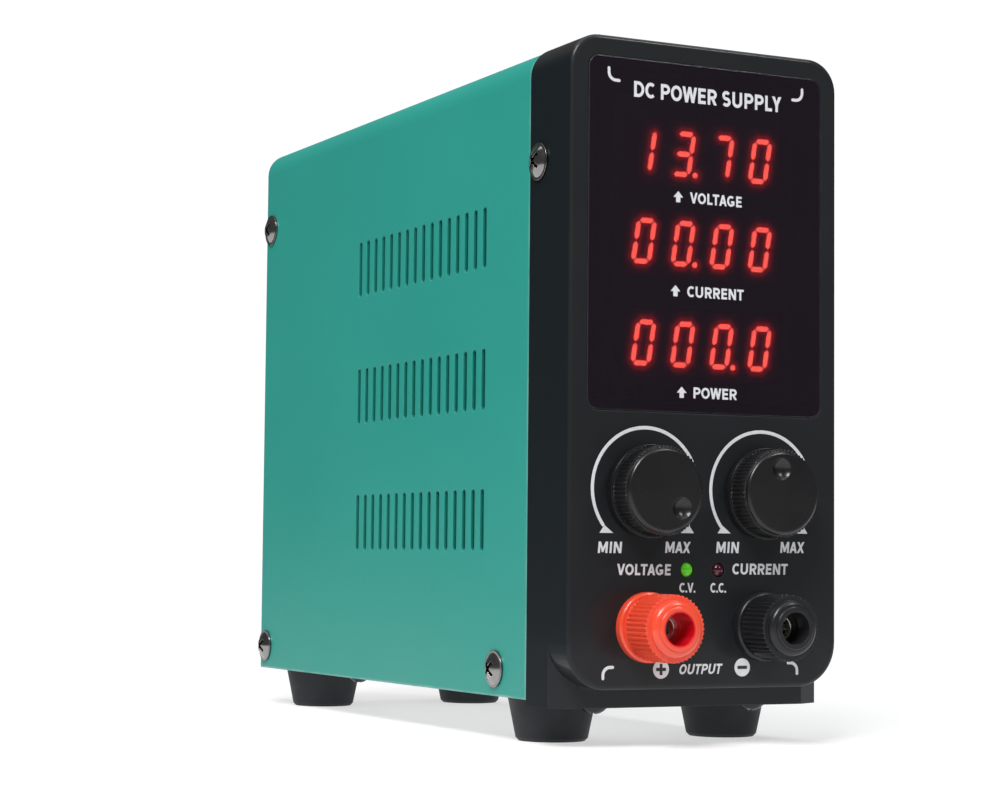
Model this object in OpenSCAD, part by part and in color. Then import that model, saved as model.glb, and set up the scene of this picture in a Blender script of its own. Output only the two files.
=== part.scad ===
// Compact bench power supply. Millimetres; front at -Y, +Z up, ground at z = 0.

/* [Case] */
// Width over the front bezel
body_w = 81; // [80:0.5:82]
// Depth from the front face to the rear edge of the cover
body_d = 212; // [210:1:216]
// Height of the top of the front bezel above the ground
body_h = 182; // [181.5:0.1:182.5]
// Depth of the front bezel
bezel_d = 22.1; // [22:0.1:22.6]
// Radius of the face's top corners
face_r = 8.5; // [7.5:0.5:9]
// Radius of the face's bottom corners
face_low_r = 11.5; // [10:0.5:12]
// Rounding of the face's outer edge
face_edge_r = 1.2; // [1:0.1:1.6]
// Wall of the moulded bezel
bezel_wall = 2.4; // [2.2:0.1:2.4]
// Thickness of the cover's sheet
cover_t = 1; // [0.8:0.1:1]
// Outside bend radius of the cover's top edges
cover_r = 7.5; // [7:0.1:8]

/* [Vents] */
// Slots in one row
slot_count = 16; // [10:1:16]
// Width of a slot
slot_w = 2.1; // [1.2:0.1:2.4]
// Height of a slot
slot_h = 16.7; // [14:0.1:18]
// Distance between neighbouring slots
slot_pitch = 5.63; // [5:0.01:5.7]

/* [Display] */
// Width of the smoked window
window_w = 70.6; // [70:0.1:71]
// Height of the smoked window
window_h = 90.8; // [90:0.1:91]
// Height of one digit
digit_h = 12; // [11:0.1:12.5]
// Distance between neighbouring digits
digit_pitch = 11.78; // [11.4:0.01:11.8]
// Lean of the digits, in degrees
digit_slant = 9; // [0:1:10]

/* [Controls] */
// Diameter of a knob over its knurl
knob_dia = 23; // [22:0.5:24]
// Length of a knob
knob_l = 9; // [9:0.1:10]
// Direction of the voltage knob's dimple, clockwise from the top
voltage_setting = 134; // [-135:1:135]
// Direction of the current knob's dimple, clockwise from the top
current_setting = -6; // [-135:1:135]

/* [Terminals] */
// Diameter of a terminal cap over its knurl
cap_dia = 17.2; // [16.8:0.1:17.6]
// Bore of the terminal socket
socket_dia = 4; // [4:0.01:4.05]
// How far the positive cap is unscrewed
positive_gap = 1; // [0:0.1:3]

/* [Feet] */
// Height of a rubber foot
foot_h = 12.5; // [12.3:0.1:12.7]
// Diameter of a foot at its top
foot_dia = 24; // [22:0.5:24]
// Diameter of a foot at the ground
foot_bottom_dia = 19.2; // [18:0.1:20]

/* [Hidden] */
$fn = 64;
gap = 0.05;           // radial clearance of a running fit
cut = 1;              // overrun of a cutter

// The overall length is centred on y = 0: the positive cap stands out in front, screw heads behind
base_front = -3.2;
cap_l = 12.2;
front_reach = positive_gap + cap_l + 0.1 - base_front;
rear_reach = 2.9;
front_y = (front_reach - rear_reach - body_d) / 2;
half_w = body_w / 2;

// Bezel
face_bottom = 14.9;
face_h = body_h - face_bottom;
face_mid = face_bottom + face_h / 2;
face_wall = 3;
plinth_bottom = 10;
plinth_top = 28;
plinth_floor = 2.2;
plinth_nose = 6.9;                 // depth of its front
plinth_nose_half = half_w - 6.4;   // half width of its front
plinth_side = 10.2;                // depth where its slanted corners meet the sides
plinth_screw = [24, 15.7];         // x and depth
shell_bottom = 11.5;

// Cover
cover_half = half_w - 0.2;
cover_top = body_h - 0.6;
inner_half = cover_half - cover_t;
inner_top = cover_top - cover_t;
inner_r = cover_r - cover_t;
slot_first = 49.1;
slot_rows = [58.2, 96.1, 134.6];

// Chassis
sheet = 1;
floor_z = foot_h;
floor_top = floor_z + sheet;
tray_half = inner_half - 0.1;
flange_h = 13.5;
frame_d = bezel_d + 0.3;
tray_front_d = frame_d + sheet + 0.2;
rear_d = body_d - sheet;
rear_flange_d = 11;

// Cover screws: depth and height, on both sides
screw_bezel = [16.9, 150.7];
screw_front = [40.5, 18.7];
screw_rear_top = [body_d - 4.3, 155.3];
screw_rear_bottom = [screw_rear_top[0], 18.7];
cover_screw_r = 1.95;

// Shank radii of the other screws
small_r = 1.5;
foot_screw_r = 2;
cover_screw_head_r = 4.9;

// Window and readouts
window_mid = 131.2;
window_t = 1.5;
window_r = 3;
display_rows = [153.4, 129.9, 103.6];
display_d = 2.2;
display_w = 4 * digit_pitch + 0.6;
display_h = 18;
digit_w = 6;
stroke = 1.35;
segment_depth = 0.4;
dot_r = 0.75;
readings = [[1, 3, 7, 0], [0, 0, 0, 0], [0, 0, 0, 0]];
dot_after = [1, 1, 2];
// Segments a to g lit for the figures that are shown
figures = [
    [1, 1, 1, 1, 1, 1, 0],
    [0, 1, 1, 0, 0, 0, 0],
    [1, 1, 0, 1, 1, 0, 1],
    [1, 1, 1, 1, 0, 0, 1],
    [0, 1, 1, 0, 0, 1, 1],
    [1, 0, 1, 1, 0, 1, 1],
    [1, 0, 1, 1, 1, 1, 1],
    [1, 1, 1, 0, 0, 0, 0]
];

// Control board
control_d = 9.5;
board_t = 1.6;
control_half = 36;
control_z = [41, 171];
control_screw_x = 33;
control_screw_z = [47, 165.5];

// Knobs and potentiometers
knob_x = 17.5;
knob_z = 65.3;
knob_r = knob_dia / 2;
knob_gap = 0.8;
knob_teeth = 66;
flange_l = 1.8;
shaft_r = 3;
bushing_r = 3.5;

// Indicator lamps
led_mid = -0.85;
led_x = 4.65;
led_z = 45.4;
led_r = 1.8;

// Terminals
post_x = 17.5;
post_z = 30.7;
post_hole_r = 4.1;
collar_r = 9;
collar_l = 2.4;
stud_r = 3;
cap_r = cap_dia / 2;
cap_teeth = 44;
cap_hole_r = 4.15;
nose_r = 7.1;
nose_l = 2.4;
lip_r = 5.5;
lip_l = 0.5;
washer_r = 6;
washer_t = 0.8;
socket_front = -9;
socket_l = 12.8;

// Feet, as x and depth
foot_x = 26.3;
foot_front = bezel_d + foot_dia / 2 + 0.3;
foot_rear = body_d - 20;
foot_recess_r = 4.7;
foot_recess_l = 5;

// Main board
board_z = 19.5;
board_top = board_z + board_t;
board_half = 34;
board_d = [28, 185];
standoff_xy = [[30, 48], [30, 154.5]];
tray_heads = [[2.8, 1.8], [3.6, 3.4]];   // radius and height of the heads under the tray

// Transformer: depth and height of its middle
core_d = 110;
core_z = board_top + 21;

// Fan, on the rear panel
fan_w = 60;
fan_t = 20;
fan_z = 128;
fan_bore_r = 28.5;
fan_pitch = 25;
fan_front_d = rear_d - fan_t;
fan_hub_r = 14;
fan_post_r = 2.9;
fan_strut_t = 3;
blade_count = 7;
blade_pitch = 38;

// Mains inlet, power rocker and voltage selector, on the rear panel
inlet_z = 42;
inlet_body = [27.2, 19.6];
inlet_screw_x = 20;
inlet_flange = 2;
pin_x = 7;
rocker_x = -18;
rocker_z = 76;
rocker_body = [13.6, 19.6];
rocker_tilt = 10;
rocker_axis = body_d - 1.5;
trunnion_r = 1.2;
selector_x = 17;
selector_z = 76;
selector_body = [22, 10];
selector_screw_x = 13.5;
selector_flange = 0.8;

// ---------- helpers ----------

// Moves to a depth behind the front face
module at_depth(d) {
    translate([0, front_y + d, 0]) children();
}

// Extrudes an outline drawn in x and z from depth d0 to d1
module slab(d0, d1) {
    at_depth(d1) rotate([90, 0, 0]) linear_extrude(d1 - d0) children();
}

// Extrudes an outline drawn in x and y upwards from z0 to z1
module plan(z0, z1) {
    translate([0, 0, z0]) linear_extrude(z1 - z0) children();
}

// Round bar along y from depth d0 to d1
module bar(d0, d1, r) {
    at_depth(d0) rotate([-90, 0, 0]) cylinder(h = d1 - d0, r = r);
}

// Ring along y from depth d0 to d1
module ring(d0, d1, r_out, r_in) {
    difference() {
        bar(d0, d1, r_out);
        bar(d0 - cut, d1 + cut, r_in);
    }
}

// Box given by its limits in x, depth and z
module block(x, d, z) {
    translate([x[0], front_y + d[0], z[0]]) cube([x[1] - x[0], d[1] - d[0], z[1] - z[0]]);
}

module rounded(w, h, r) {
    square([w - 2 * r, h], center = true);
    square([w, h - 2 * r], center = true);
    for (x = [-1, 1], y = [-1, 1])
        translate([x * (w / 2 - r), y * (h / 2 - r)]) circle(r);
}

// Square at the bottom, rounded at the top corners
module arch(half, z0, z1, r) {
    translate([-half, z0]) square([2 * half, z1 - z0 - r]);
    translate([-half + r, z0]) square([2 * half - 2 * r, z1 - z0]);
    for (x = [-1, 1])
        translate([x * (half - r), z1 - r]) circle(r);
}

function polar(r, a) = [r * cos(a), r * sin(a)];

// Outline of a knurl: pointed teeth between two radii
module toothed(r_tip, r_root, teeth) {
    polygon([for (i = [0 : 2 * teeth - 1]) polar(i % 2 == 0 ? r_tip : r_root, i * 180 / teeth)]);
}

// A shallow domed head, flat side on z = 0, with a cross recess
module screw_head(r, h) {
    dome = (r * r + h * h) / (2 * h);
    difference() {
        rotate_extrude() intersection() {
            translate([0, h - dome]) circle(dome, $fn = 96);
            square([r, h]);
        }
        for (a = [45, 135])
            rotate([0, 0, a]) translate([-r * 0.6, -r * 0.13, h * 0.25]) cube([r * 1.2, r * 0.26, r]);
    }
}

// Screw with its head above z = 0 and its shank below
module screw(head_r, head_h, shank_r, shank_l) {
    screw_head(head_r, head_h);
    translate([0, 0, -shank_l]) cylinder(h = shank_l + 0.1, r = shank_r);
}

// Hexagonal nut along y
module nut(d0, d1, across, r_in) {
    difference() {
        at_depth(d0) rotate([-90, 0, 0]) cylinder(h = d1 - d0, r = across / sqrt(3), $fn = 6);
        bar(d0 - cut, d1 + cut, r_in);
    }
}

module mirrored() {
    children();
    mirror([1, 0, 0]) children();
}

// Round wire through a list of points, with a slightly larger ball at each bend
module wire(points, r) {
    wire_bend = 1.35;
    for (i = [0 : len(points) - 2]) {
        run = points[i + 1] - points[i];
        length = norm(run);
        translate(points[i])
            rotate([0, acos(run[2] / length), atan2(run[1], run[0])])
                cylinder(h = length, r = r, $fn = 24);
        if (i > 0) translate(points[i]) sphere(r * wire_bend, $fn = 24);
    }
}

// ---------- case ----------

// Outline of a soft front edge, seen from the side: width towards +x, depth towards +y
module edge_profile(w, depth, r) {
    square([w - r, depth]);
    translate([0, r]) square([w, depth - r]);
    translate([w - r, r]) circle(r);
}

// Disc from depth d0 back to d1 with a rounded front edge
module soft_disc(d0, d1, r, edge) {
    at_depth(d0) rotate([-90, 0, 0]) rotate_extrude() edge_profile(r, d1 - d0, edge);
}

// Upper half of a slab with rounded corners and a rounded front edge, h above its middle
module soft_half(w, h, r, edge, depth) {
    mirrored() {
        linear_extrude(h - r) edge_profile(w / 2, depth, edge);
        translate([w / 2 - r, 0, h - r]) rotate([-90, 0, 0]) rotate([0, 0, -90])
            rotate_extrude(angle = 90) edge_profile(r, depth, edge);
    }
    translate([r - w / 2, 0, 0]) rotate([90, 0, 90])
        linear_extrude(w - 2 * r) rotate(90) mirror([0, 1]) edge_profile(h, depth, edge);
}

// The plinth under the face, seen from above, set in by a wall
module plinth_outline(inset) {
    slant = atan2(plinth_side - plinth_nose, half_w - plinth_nose_half);
    side = half_w - inset;
    side_y = front_y + plinth_side + inset * tan((90 - slant) / 2);
    nose = plinth_nose_half - inset * tan(slant / 2);
    nose_y = front_y + plinth_nose + inset;
    back_y = front_y + bezel_d;
    polygon([
        [-side, back_y], [-side, side_y], [-nose, nose_y], [nose, nose_y], [side, side_y], [side, back_y]
    ]);
}

module front_bezel() {
    inside = half_w - bezel_wall;
    boss_r = 3;
    pilot_r = 1.3;
    readout_gap = [54, 78];
    readout_gap_mid = 128.5;
    floor_z0 = plinth_bottom + plinth_floor;
    color([0.12, 0.13, 0.15]) difference() {
        union() {
            at_depth(0) translate([0, 0, face_mid]) {
                soft_half(body_w, face_h / 2, face_r, face_edge_r, bezel_d);
                mirror([0, 0, 1]) soft_half(body_w, face_h / 2, face_low_r, face_edge_r, bezel_d);
            }
            plan(plinth_bottom, plinth_top) plinth_outline(0);
        }
        // The hollow behind the face, less the bosses that carry the control board
        difference() {
            slab(face_wall, bezel_d + cut) translate([0, face_mid])
                rounded(2 * inside, face_h - 2 * bezel_wall, face_low_r - bezel_wall);
            for (x = [-1, 1], z = control_screw_z)
                translate([x * control_screw_x, 0, z]) bar(face_wall - cut, control_d, boss_r);
        }
        // The hollow plinth and its way up into the face
        plan(floor_z0, plinth_top - bezel_wall) plinth_outline(bezel_wall);
        block([-inside, inside], [plinth_side + bezel_wall, bezel_d + cut], [floor_z0, plinth_top + 12]);
        // The window's recess and the opening behind it
        slab(-cut, window_t) translate([0, window_mid])
            rounded(window_w + 0.4, window_h + 0.4, window_r + 0.2);
        slab(-cut, face_wall + cut) translate([0, readout_gap_mid])
            rounded(readout_gap[0], readout_gap[1], 2);
        for (x = [-1, 1]) {
            translate([x * knob_x, 0, knob_z]) bar(-cut, face_wall + cut, bushing_r + 0.1);
            translate([led_mid + x * led_x, 0, led_z]) bar(-cut, face_wall + cut, led_r + 0.1);
            translate([x * post_x, 0, post_z]) bar(-cut, face_wall + cut, post_hole_r);
            for (z = control_screw_z)
                translate([x * control_screw_x, 0, z]) bar(control_d - 5, control_d + cut, pilot_r);
            translate([x * (half_w - 4), front_y + screw_bezel[0], screw_bezel[1]])
                rotate([0, x * 90, 0]) cylinder(h = 8, r = cover_screw_r + 0.2);
            translate([x * plinth_screw[0], front_y + plinth_screw[1], 0]) cylinder(h = 20, r = 1.6);
        }
    }
}

module display_window() {
    color([0.08, 0.04, 0.07, 0.6]) slab(0, window_t)
        translate([0, window_mid]) rounded(window_w, window_h, window_r);
}

// Round-ended slot through both sides
module slot() {
    straight = slot_h - slot_w;
    translate([-half_w - cut, 0, 0]) rotate([90, 0, 90]) linear_extrude(body_w + 2 * cut) {
        square([slot_w, straight], center = true);
        for (z = [-1, 1]) translate([0, z * straight / 2]) circle(slot_w / 2, $fn = 16);
    }
}

module side_hole(place, r) {
    translate([-half_w - cut, front_y + place[0], place[1]]) rotate([0, 90, 0])
        cylinder(h = body_w + 2 * cut, r = r);
}

module cover() {
    color([0.2, 0.63, 0.56]) difference() {
        slab(bezel_d, body_d) difference() {
            arch(cover_half, shell_bottom, cover_top, cover_r);
            arch(inner_half, shell_bottom - cut, inner_top, inner_r);
        }
        for (row = slot_rows, i = [0 : slot_count - 1])
            translate([0, front_y + slot_first + i * slot_pitch, row]) slot();
        for (place = [screw_front, screw_rear_top, screw_rear_bottom])
            side_hole(place, cover_screw_r + 0.2);
    }
}

module chassis_tray() {
    color([0.72, 0.73, 0.74]) difference() {
        union() {
            block([-tray_half, tray_half], [tray_front_d, rear_d], [floor_z, floor_top]);
            block([-30, 30], [11, tray_front_d + cut], [floor_z, floor_top]);
            mirrored()
                block([tray_half - sheet, tray_half], [tray_front_d, rear_d - rear_flange_d - 0.5],
                      [floor_z, floor_z + flange_h]);
        }
        side_hole(screw_front, cover_screw_r + gap);
        for (x = [-1, 1]) {
            for (d = [foot_front, foot_rear])
                translate([x * foot_x, front_y + d, 0]) cylinder(h = 20, r = foot_screw_r + gap);
            for (at = standoff_xy)
                translate([x * at[0], front_y + at[1], 0]) cylinder(h = 20, r = small_r + 0.1);
            translate([x * plinth_screw[0], front_y + plinth_screw[1], 0])
                cylinder(h = 20, r = small_r + gap);
        }
    }
}

module front_frame() {
    ear_out = half_w - bezel_wall - 0.1;
    frame_top = 178;
    color([0.72, 0.73, 0.74]) difference() {
        union() {
            slab(frame_d, frame_d + sheet) difference() {
                arch(ear_out, floor_top, frame_top, 8);
                translate([0, 97.5]) square([62, 145], center = true);
            }
            block([-30, 30], [frame_d, frame_d + 11], [floor_top, floor_top + sheet]);
            mirrored()
                block([ear_out - sheet, ear_out], [12, frame_d + sheet], [140, 161]);
        }
        side_hole(screw_bezel, cover_screw_r + gap);
        for (x = [-1, 1])
            translate([x * foot_x, front_y + foot_front, 0]) cylinder(h = 30, r = 2 * foot_screw_r);
    }
}

// Opening in the rear panel for a part that snaps or screws in
module panel_cutout(x, z, size, play) {
    slab(rear_d - cut, body_d + cut) translate([x, z])
        square([size[0] + 2 * play, size[1] + 2 * play], center = true);
}

module rear_panel() {
    color([0.75, 0.76, 0.77]) difference() {
        union() {
            slab(rear_d, body_d) arch(tray_half, floor_z, inner_top - 0.1, inner_r);
            mirrored()
                block([tray_half - sheet, tray_half], [rear_d - rear_flange_d, rear_d + 0.5],
                      [floor_top, 165]);
        }
        for (place = [screw_rear_top, screw_rear_bottom])
            side_hole(place, cover_screw_r + gap);
        translate([0, 0, fan_z]) {
            bar(rear_d - cut, body_d + cut, fan_bore_r - 0.5);
            for (x = [-1, 1], z = [-1, 1])
                translate([x * fan_pitch, 0, z * fan_pitch]) bar(rear_d - cut, body_d + cut, 2.1);
        }
        panel_cutout(0, inlet_z, inlet_body, 0.2);
        panel_cutout(rocker_x, rocker_z, rocker_body, 0.1);
        panel_cutout(selector_x, selector_z, selector_body, 0.2);
        for (x = [-1, 1]) {
            translate([x * inlet_screw_x, 0, inlet_z]) bar(rear_d - cut, body_d + cut, small_r + gap);
            translate([selector_x + x * selector_screw_x, 0, selector_z])
                bar(rear_d - cut, body_d + cut, small_r + gap);
        }
    }
}

// ---------- readouts and control board ----------

function lean(p) = [p[0] + p[1] * tan(digit_slant), p[1]];

// Corner points of one segment: a bar with pointed ends, from p to q
function segment_points(p, q) =
    let (u = (q - p) / norm(q - p), n = [-u[1], u[0]], h = stroke / 2, a = p + u * 0.25, b = q - u * 0.25)
    [a, a + (u + n) * h, b + (n - u) * h, b, b - (u + n) * h, a + (u - n) * h];

// Segment a is the top bar, b to f go clockwise round, g is the middle bar
function segment_ends(k) =
    let (x = (digit_w - stroke) / 2, z = (digit_h - stroke) / 2)
    [
        [[-x, z], [x, z]], [[x, z], [x, 0]], [[x, 0], [x, -z]], [[x, -z], [-x, -z]],
        [[-x, -z], [-x, 0]], [[-x, 0], [-x, z]], [[-x, 0], [x, 0]]
    ][k];

module segment(k) {
    ends = segment_ends(k);
    polygon([for (p = segment_points(ends[0], ends[1])) lean(p)]);
}

module dot() {
    translate(lean([digit_w / 2 + 1.35, -(digit_h - stroke) / 2])) circle(dot_r, $fn = 24);
}

function digit_x(i) = (i - 1.5) * digit_pitch;

module display_module(row) {
    color([0.3, 0.28, 0.28]) translate([0, 0, display_rows[row]]) difference() {
        slab(display_d, control_d) square([display_w, display_h], center = true);
        for (i = [0 : 3]) translate([digit_x(i), 0, 0]) slab(display_d - cut, display_d + segment_depth) {
            for (k = [0 : 6]) segment(k);
            dot();
        }
    }
}

module lit_segments() {
    color([1, 0.25, 0.18]) for (row = [0 : 2]) translate([0, 0, display_rows[row]])
        for (i = [0 : 3]) translate([digit_x(i), 0, 0]) slab(display_d - 0.1, display_d + segment_depth) {
            for (k = [0 : 6]) if (figures[readings[row][i]][k] == 1) segment(k);
            if (i == dot_after[row]) dot();
        }
}

module control_board() {
    color([0.1, 0.35, 0.2]) difference() {
        block([-control_half, control_half], [control_d, control_d + board_t], control_z);
        for (x = [-1, 1]) {
            for (z = control_screw_z)
                translate([x * control_screw_x, 0, z]) bar(control_d - cut, control_d + board_t + cut, 1.6);
        }
    }
}

// ---------- knobs ----------

module pot(x) {
    color([0.35, 0.36, 0.38]) translate([x, 0, knob_z]) difference() {
        union() {
            block([-6, 6], [face_wall + 0.3, control_d], [-6, 6]);
            bar(-2.4, face_wall + 0.4, bushing_r);
        }
        bar(-4, control_d - 1.5, shaft_r + gap);
    }
}

module pot_nuts() {
    color([0.8, 0.8, 0.82]) for (x = [-knob_x, knob_x])
        translate([x, 0, knob_z]) nut(-2, 0, 10, bushing_r + gap);
}

// Round bar with a flat, which faces the knob's dimple
module d_section(r) {
    intersection() {
        circle(r);
        translate([-r, -r]) square([2 * r, 2 * r - 1.5]);
    }
}

module knob_shaft(x, setting) {
    color([0.78, 0.78, 0.8]) translate([x, 0, knob_z]) rotate([0, setting, 0]) {
        bar(-2.6, control_d - 1.6, shaft_r);
        slab(-8.4, -2.6) d_section(shaft_r);
    }
}

module knob(x, setting) {
    face = -knob_gap - knob_l;
    shoulder = face + 1.1;
    rim_r = knob_r - 0.6;
    skirt_r = knob_r - 2.2;
    core_r = 5;
    hollow_front = -7.4;
    dimple_r = 2.8;
    dimple_depth = 1.3;
    dimple_offset = 6.3;
    dimple_ball = (dimple_r * dimple_r + dimple_depth * dimple_depth) / (2 * dimple_depth);
    color([0.1, 0.1, 0.11]) translate([x, 0, knob_z]) rotate([0, setting, 0]) difference() {
        union() {
            bar(-knob_gap - flange_l, -knob_gap, knob_r + 0.45);
            slab(shoulder, -knob_gap - flange_l + 0.1) toothed(knob_r, knob_r - 0.4, knob_teeth);
            soft_disc(face, shoulder + 0.2, rim_r, 1);
        }
        difference() {
            bar(hollow_front, 0, skirt_r);
            bar(hollow_front - 0.1, -2.9, core_r);
        }
        slab(-8.6, -2) d_section(shaft_r + 0.02);
        at_depth(face - dimple_ball + dimple_depth) translate([0, 0, dimple_offset])
            sphere(dimple_ball);
    }
}

// ---------- indicator lamps ----------

module led(x, tint) {
    dome_d = 1;
    lead_x = 0.9;
    lead = 0.25;
    color(tint) translate([led_mid + x, 0, led_z]) {
        bar(dome_d, face_wall + 1.1, led_r);
        at_depth(dome_d) sphere(led_r);
        bar(face_wall + 0.1, face_wall + 1.1, led_r + 0.4);
        for (s = [-1, 1])
            block([s * lead_x - lead, s * lead_x + lead], [face_wall + 1, control_d], [-lead, lead]);
    }
}

// ---------- terminals ----------

module post_base(x, tint) {
    color(tint) translate([x, 0, post_z]) difference() {
        union() {
            soft_disc(-collar_l, 0, collar_r, 0.8);
            bar(base_front, 0.1 - collar_l, cap_r - 0.9);
            bar(-0.1, face_wall, post_hole_r - 0.1);
        }
        bar(base_front - cut, face_wall + cut, stud_r + 0.02);
    }
}

module post_stud(x) {
    mouth_l = 0.9;
    cross_hole_r = 1;
    color([0.83, 0.82, 0.78]) translate([x, 0, post_z]) difference() {
        bar(socket_front, 15, stud_r);
        // The socket and its countersunk mouth
        bar(socket_front - cut, socket_front + socket_l, socket_dia / 2);
        at_depth(socket_front - cut) rotate([-90, 0, 0])
            cylinder(h = cut + mouth_l, r1 = stud_r + 0.5, r2 = socket_dia / 2 - 0.1);
        translate([-5, front_y + base_front - 1.9, 0]) rotate([0, 90, 0])
            cylinder(h = 10, r = cross_hole_r);
    }
}

module clamp_washer(x, open) {
    front = base_front - 0.1 - open;
    color([0.83, 0.82, 0.78]) translate([x, 0, post_z])
        ring(front - washer_t, front, washer_r, stud_r + gap);
}

// Knurled side, narrower rounded nose with a lip, socket hole through the middle
module post_cap(x, open, tint) {
    back = base_front - 0.1 - open;
    front = back - cap_l;
    hole_l = 6.6;
    color(tint) translate([x, 0, post_z]) difference() {
        union() {
            slab(front + nose_l, back) toothed(cap_r, cap_r - 0.45, cap_teeth);
            soft_disc(front + lip_l, front + nose_l + 0.2, nose_r, 1.4);
            soft_disc(front, front + lip_l + 0.2, lip_r, 0.3);
        }
        bar(front - cut, front + hole_l, cap_hole_r);
        bar(front, back + cut, stud_r + gap);
        bar(back - washer_t - 0.1, back + cut, washer_r + 0.2);
    }
}

module post_insulators() {
    color([0.2, 0.2, 0.2]) for (x = [-post_x, post_x])
        translate([x, 0, post_z]) ring(face_wall, face_wall + 2, 7.5, stud_r + gap);
}

module post_nuts() {
    color([0.8, 0.8, 0.82]) for (x = [-post_x, post_x]) translate([x, 0, post_z]) {
        nut(face_wall + 2, face_wall + 4.4, 10, stud_r + 0.02);
        nut(face_wall + 5.2, face_wall + 7.6, 10, stud_r + 0.02);
    }
}

module post_lugs() {
    color([0.85, 0.8, 0.6]) for (x = [-post_x, post_x]) translate([x, 0, post_z]) difference() {
        union() {
            bar(face_wall + 4.4, face_wall + 5.2, 5.5);
            block([-2.5, 2.5], [face_wall + 4.4, face_wall + 5.2], [0, 9.3]);
        }
        bar(face_wall, face_wall + 8, stud_r + gap);
    }
}

// ---------- feet ----------

module foot(x, d) {
    top_r = foot_dia / 2;
    low_r = foot_bottom_dia / 2;
    edge = 0.8;
    color([0.09, 0.1, 0.11]) translate([x, front_y + d, 0]) rotate_extrude() polygon([
        [foot_recess_r, 0], [low_r - edge, 0], [low_r, edge], [top_r, foot_h],
        [foot_screw_r + 0.2, foot_h], [foot_screw_r + 0.2, foot_recess_l], [foot_recess_r, foot_recess_l]
    ]);
}

module foot_screws() {
    color([0.8, 0.8, 0.82]) for (x = [-foot_x, foot_x], d = [foot_front, foot_rear])
        translate([x, front_y + d, foot_recess_l]) rotate([180, 0, 0])
            screw(foot_recess_r - 0.7, 2.2, foot_screw_r, 11);
}

// ---------- fasteners ----------

// Pan-head screw with a collar under its head
module cover_screw(shank_l) {
    collar_t = 0.6;
    cylinder(h = collar_t, r = cover_screw_head_r);
    translate([0, 0, collar_t - 0.05]) screw_head(cover_screw_head_r - 0.7, 1.75);
    translate([0, 0, -shank_l]) cylinder(h = shank_l + 0.1, r = cover_screw_r);
}

module cover_screws() {
    color([0.8, 0.8, 0.82]) mirrored() {
        for (place = [screw_front, screw_rear_top, screw_rear_bottom])
            translate([cover_half, front_y + place[0], place[1]]) rotate([0, 90, 0]) cover_screw(5);
        translate([half_w, front_y + screw_bezel[0], screw_bezel[1]]) rotate([0, 90, 0]) cover_screw(6);
    }
}

module small_screws() {
    color([0.8, 0.8, 0.82]) for (x = [-1, 1]) {
        // Plinth to chassis, from below
        translate([x * plinth_screw[0], front_y + plinth_screw[1], plinth_bottom]) rotate([180, 0, 0])
            screw(3.7, 2.1, small_r, 5.5);
        // Main board and chassis to the standoffs
        for (i = [0, 1]) translate([x * standoff_xy[i][0], front_y + standoff_xy[i][1], 0]) {
            translate([0, 0, board_top]) screw(2.8, 1.8, small_r, 3.5);
            translate([0, 0, floor_z]) rotate([180, 0, 0])
                screw(tray_heads[i][0], tray_heads[i][1], small_r, 3.5);
        }
        // Control board to the bezel
        for (z = control_screw_z)
            translate([x * control_screw_x, front_y + control_d + board_t, z]) rotate([-90, 0, 0])
                screw(2.6, 1.6, 1.25, 6);
        // Mains inlet and voltage selector to the rear panel
        translate([x * inlet_screw_x, front_y + body_d + inlet_flange, inlet_z]) rotate([-90, 0, 0])
            screw(2.6, 0.9, small_r, 7);
        translate([selector_x + x * selector_screw_x, front_y + body_d + selector_flange, selector_z])
            rotate([-90, 0, 0]) screw(2.2, 1.4, small_r, 5);
    }
}

// ---------- main board ----------

module main_board() {
    color([0.1, 0.35, 0.2]) difference() {
        block([-board_half, board_half], board_d, [board_z, board_top]);
        for (x = [-1, 1], at = standoff_xy)
            translate([x * at[0], front_y + at[1], 0]) cylinder(h = 40, r = small_r + 0.1);
    }
}

module board_standoffs() {
    color([0.85, 0.75, 0.45]) for (x = [-1, 1], at = standoff_xy)
        translate([x * at[0], front_y + at[1], floor_top]) difference() {
            cylinder(h = board_z - floor_top, r = 3, $fn = 6);
            translate([0, 0, -cut]) cylinder(h = 10, r = small_r + gap);
        }
}

module transformer_core() {
    color([0.25, 0.25, 0.26]) difference() {
        block([-21, 21], [core_d - 11, core_d + 11], [core_z - 20, core_z + 20]);
        for (x = [-11.25, 11.25])
            block([x - 4.25, x + 4.25], [core_d - 12, core_d + 12], [core_z - 14, core_z + 14]);
    }
}

module transformer_winding() {
    color([0.85, 0.7, 0.2]) difference() {
        block([-15, 15], [core_d - 18, core_d + 18], [core_z - 13.5, core_z + 13.5]);
        block([-7.2, 7.2], [core_d - 11.2, core_d + 11.2], [core_z - 15, core_z + 15]);
    }
}

module capacitor(x, d, r, h) {
    translate([x, front_y + d, board_top]) {
        cylinder(h = h - 1, r = r);
        cylinder(h = h, r = r - 1);
    }
}

module input_capacitors() {
    color([0.1, 0.12, 0.2]) for (x = [-12, 12]) capacitor(x, 166, 11, 36);
}

module output_capacitors() {
    color([0.1, 0.15, 0.12]) for (x = [-20, -6.7, 6.7, 20]) capacitor(x, 36, 6.2, 26);
}

module toroid(d, r_mid, r_tube) {
    translate([0, front_y + d, board_top + r_tube]) rotate_extrude() translate([r_mid, 0]) circle(r_tube);
}

module input_choke() {
    color([0.7, 0.35, 0.15]) toroid(141, 7, 3.4);
}

module output_choke() {
    color([0.75, 0.4, 0.15]) toroid(66, 9.5, 5.5);
}

// Finned extrusions, fins towards the side walls
module heatsinks() {
    color([0.78, 0.79, 0.8]) mirrored() slab(54, 150) {
        translate([22, board_top]) square([3, 58]);
        for (i = [0 : 8]) translate([24.5, board_top + 1 + i * 6.7]) square([9, 1.6]);
    }
}

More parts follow.
